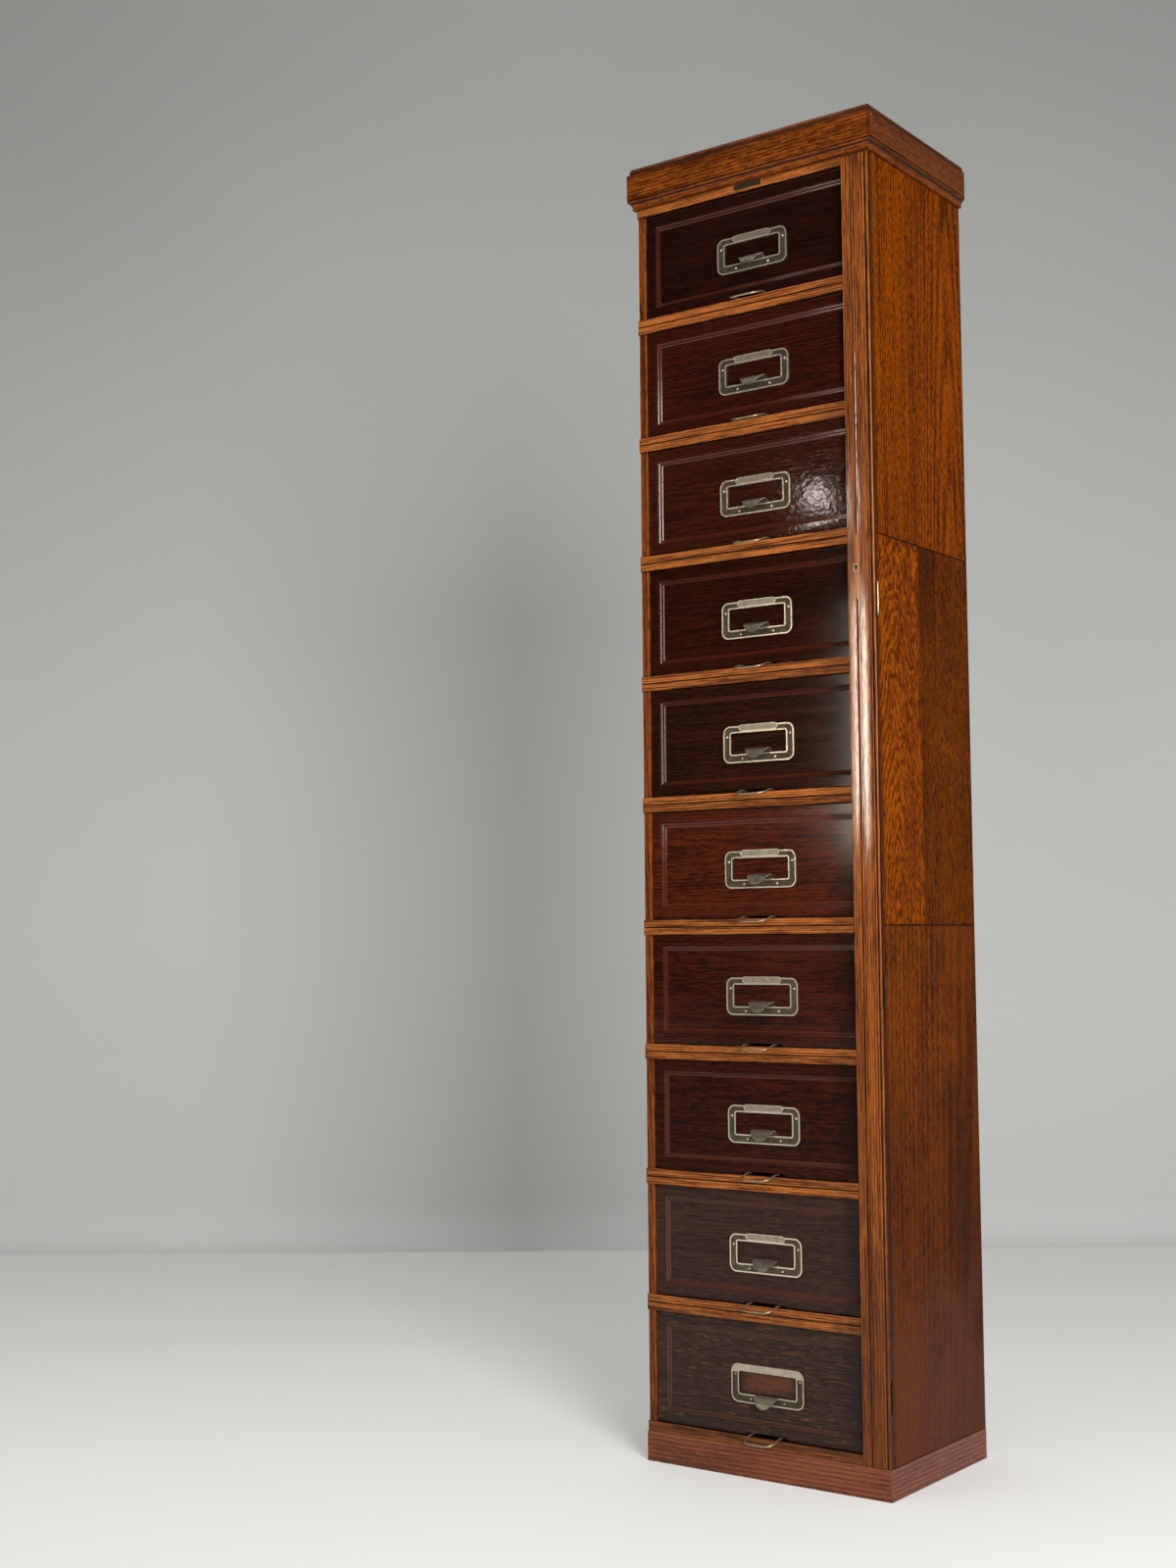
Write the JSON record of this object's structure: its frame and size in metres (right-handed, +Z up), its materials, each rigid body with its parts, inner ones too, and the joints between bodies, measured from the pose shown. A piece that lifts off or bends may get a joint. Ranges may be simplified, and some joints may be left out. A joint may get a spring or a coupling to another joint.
{
  "type": "filing chest",
  "caption": "Tall narrow oak filing chest with panelled dark drawers, label-frame pulls, wire finger loops, a hinged locking stile, plinth and cornice.",
  "frame": {"origin": "floor level under the middle of the whole chest", "axes": "+Z up, -Y out of the drawer fronts, +X towards the locking stile"},
  "size_m": [0.412, 0.3095, 1.901],
  "materials": {
    "oak_side": "old varnish, satin",
    "oak_side_lower": "worn varnish",
    "oak_plinth": "worn varnish",
    "oak_rail": "old varnish, satin",
    "oak_stile": "old varnish, glossy",
    "oak_cornice": "old varnish, satin",
    "oak_inside": "bare, matt",
    "dark_front": "dark stain, gloss",
    "aged_nickel": "aged nickel",
    "loop_wire": "dull wire",
    "tarnished_brass": "tarnished",
    "lock_steel": "dull steel"
  },
  "bodies": {
    "case": {"plinth": "oak_plinth", "carcass_boards": "oak_inside", "left_side_panels": "oak_side", "right_side_lower": "oak_side_lower", "right_side_middle": "oak_side", "right_side_upper": "oak_side", "back_panels": "oak_inside", "front_rails": "oak_rail", "drawer_runners": "oak_inside", "cornice_moulding": "oak_cornice", "cornice_fascia": "oak_cornice", "top_board": "oak_cornice", "blank_plate": "tarnished_brass", "hinge_leaves_fixed": "tarnished_brass", "hinge_pins": "tarnished_brass"},
    "stile": {"locking_stile": "oak_stile", "hinge_leaves_swinging": "tarnished_brass", "keyhole_escutcheon": "tarnished_brass", "lock_case": "lock_steel"},
    "bolt": {"lock_bolt": "lock_steel"},
    "drawer_01": {"drawer_01_front": "dark_front", "drawer_01_box": "oak_inside", "drawer_01_label_frame": "aged_nickel", "drawer_01_finger_loop": "loop_wire"},
    "drawer_02": {"drawer_02_front": "dark_front", "drawer_02_box": "oak_inside", "drawer_02_label_frame": "aged_nickel", "drawer_02_finger_loop": "loop_wire"},
    "drawer_03": {"drawer_03_front": "dark_front", "drawer_03_box": "oak_inside", "drawer_03_label_frame": "aged_nickel", "drawer_03_finger_loop": "loop_wire"},
    "drawer_04": {"drawer_04_front": "dark_front", "drawer_04_box": "oak_inside", "drawer_04_label_frame": "aged_nickel", "drawer_04_finger_loop": "loop_wire"},
    "drawer_05": {"drawer_05_front": "dark_front", "drawer_05_box": "oak_inside", "drawer_05_label_frame": "aged_nickel", "drawer_05_finger_loop": "loop_wire"},
    "drawer_06": {"drawer_06_front": "dark_front", "drawer_06_box": "oak_inside", "drawer_06_label_frame": "aged_nickel", "drawer_06_finger_loop": "loop_wire"},
    "drawer_07": {"drawer_07_front": "dark_front", "drawer_07_box": "oak_inside", "drawer_07_label_frame": "aged_nickel", "drawer_07_finger_loop": "loop_wire"},
    "drawer_08": {"drawer_08_front": "dark_front", "drawer_08_box": "oak_inside", "drawer_08_label_frame": "aged_nickel", "drawer_08_finger_loop": "loop_wire"},
    "drawer_09": {"drawer_09_front": "dark_front", "drawer_09_box": "oak_inside", "drawer_09_label_frame": "aged_nickel", "drawer_09_finger_loop": "loop_wire"},
    "drawer_10": {"drawer_10_front": "dark_front", "drawer_10_box": "oak_inside", "drawer_10_label_frame": "aged_nickel", "drawer_10_finger_loop": "loop_wire"}
  },
  "joints": [
    {"name": "drawer_01_slide", "type": "slide", "parent": "case", "child": "drawer_01", "axis": [0, -1, 0], "range_m": [0, 0.2]},
    {"name": "drawer_02_slide", "type": "slide", "parent": "case", "child": "drawer_02", "axis": [0, -1, 0], "range_m": [0, 0.2]},
    {"name": "drawer_03_slide", "type": "slide", "parent": "case", "child": "drawer_03", "axis": [0, -1, 0], "range_m": [0, 0.2]},
    {"name": "drawer_04_slide", "type": "slide", "parent": "case", "child": "drawer_04", "axis": [0, -1, 0], "range_m": [0, 0.2]},
    {"name": "drawer_05_slide", "type": "slide", "parent": "case", "child": "drawer_05", "axis": [0, -1, 0], "range_m": [0, 0.2]},
    {"name": "drawer_06_slide", "type": "slide", "parent": "case", "child": "drawer_06", "axis": [0, -1, 0], "range_m": [0, 0.2]},
    {"name": "drawer_07_slide", "type": "slide", "parent": "case", "child": "drawer_07", "axis": [0, -1, 0], "range_m": [0, 0.2]},
    {"name": "drawer_08_slide", "type": "slide", "parent": "case", "child": "drawer_08", "axis": [0, -1, 0], "range_m": [0, 0.2]},
    {"name": "drawer_09_slide", "type": "slide", "parent": "case", "child": "drawer_09", "axis": [0, -1, 0], "range_m": [0, 0.2]},
    {"name": "drawer_10_slide", "type": "slide", "parent": "case", "child": "drawer_10", "axis": [0, -1, 0], "range_m": [0, 0.2]},
    {"name": "stile_hinge", "type": "hinge", "parent": "case", "child": "stile", "pos_m": [0.1959, -0.1312, 0.939], "axis": [0, 0, 1], "range_deg": [0, 180]},
    {"name": "lock_bolt_slide", "type": "slide", "parent": "stile", "child": "bolt", "axis": [1, 0, 0], "range_m": [0, 0.006]}
  ]
}
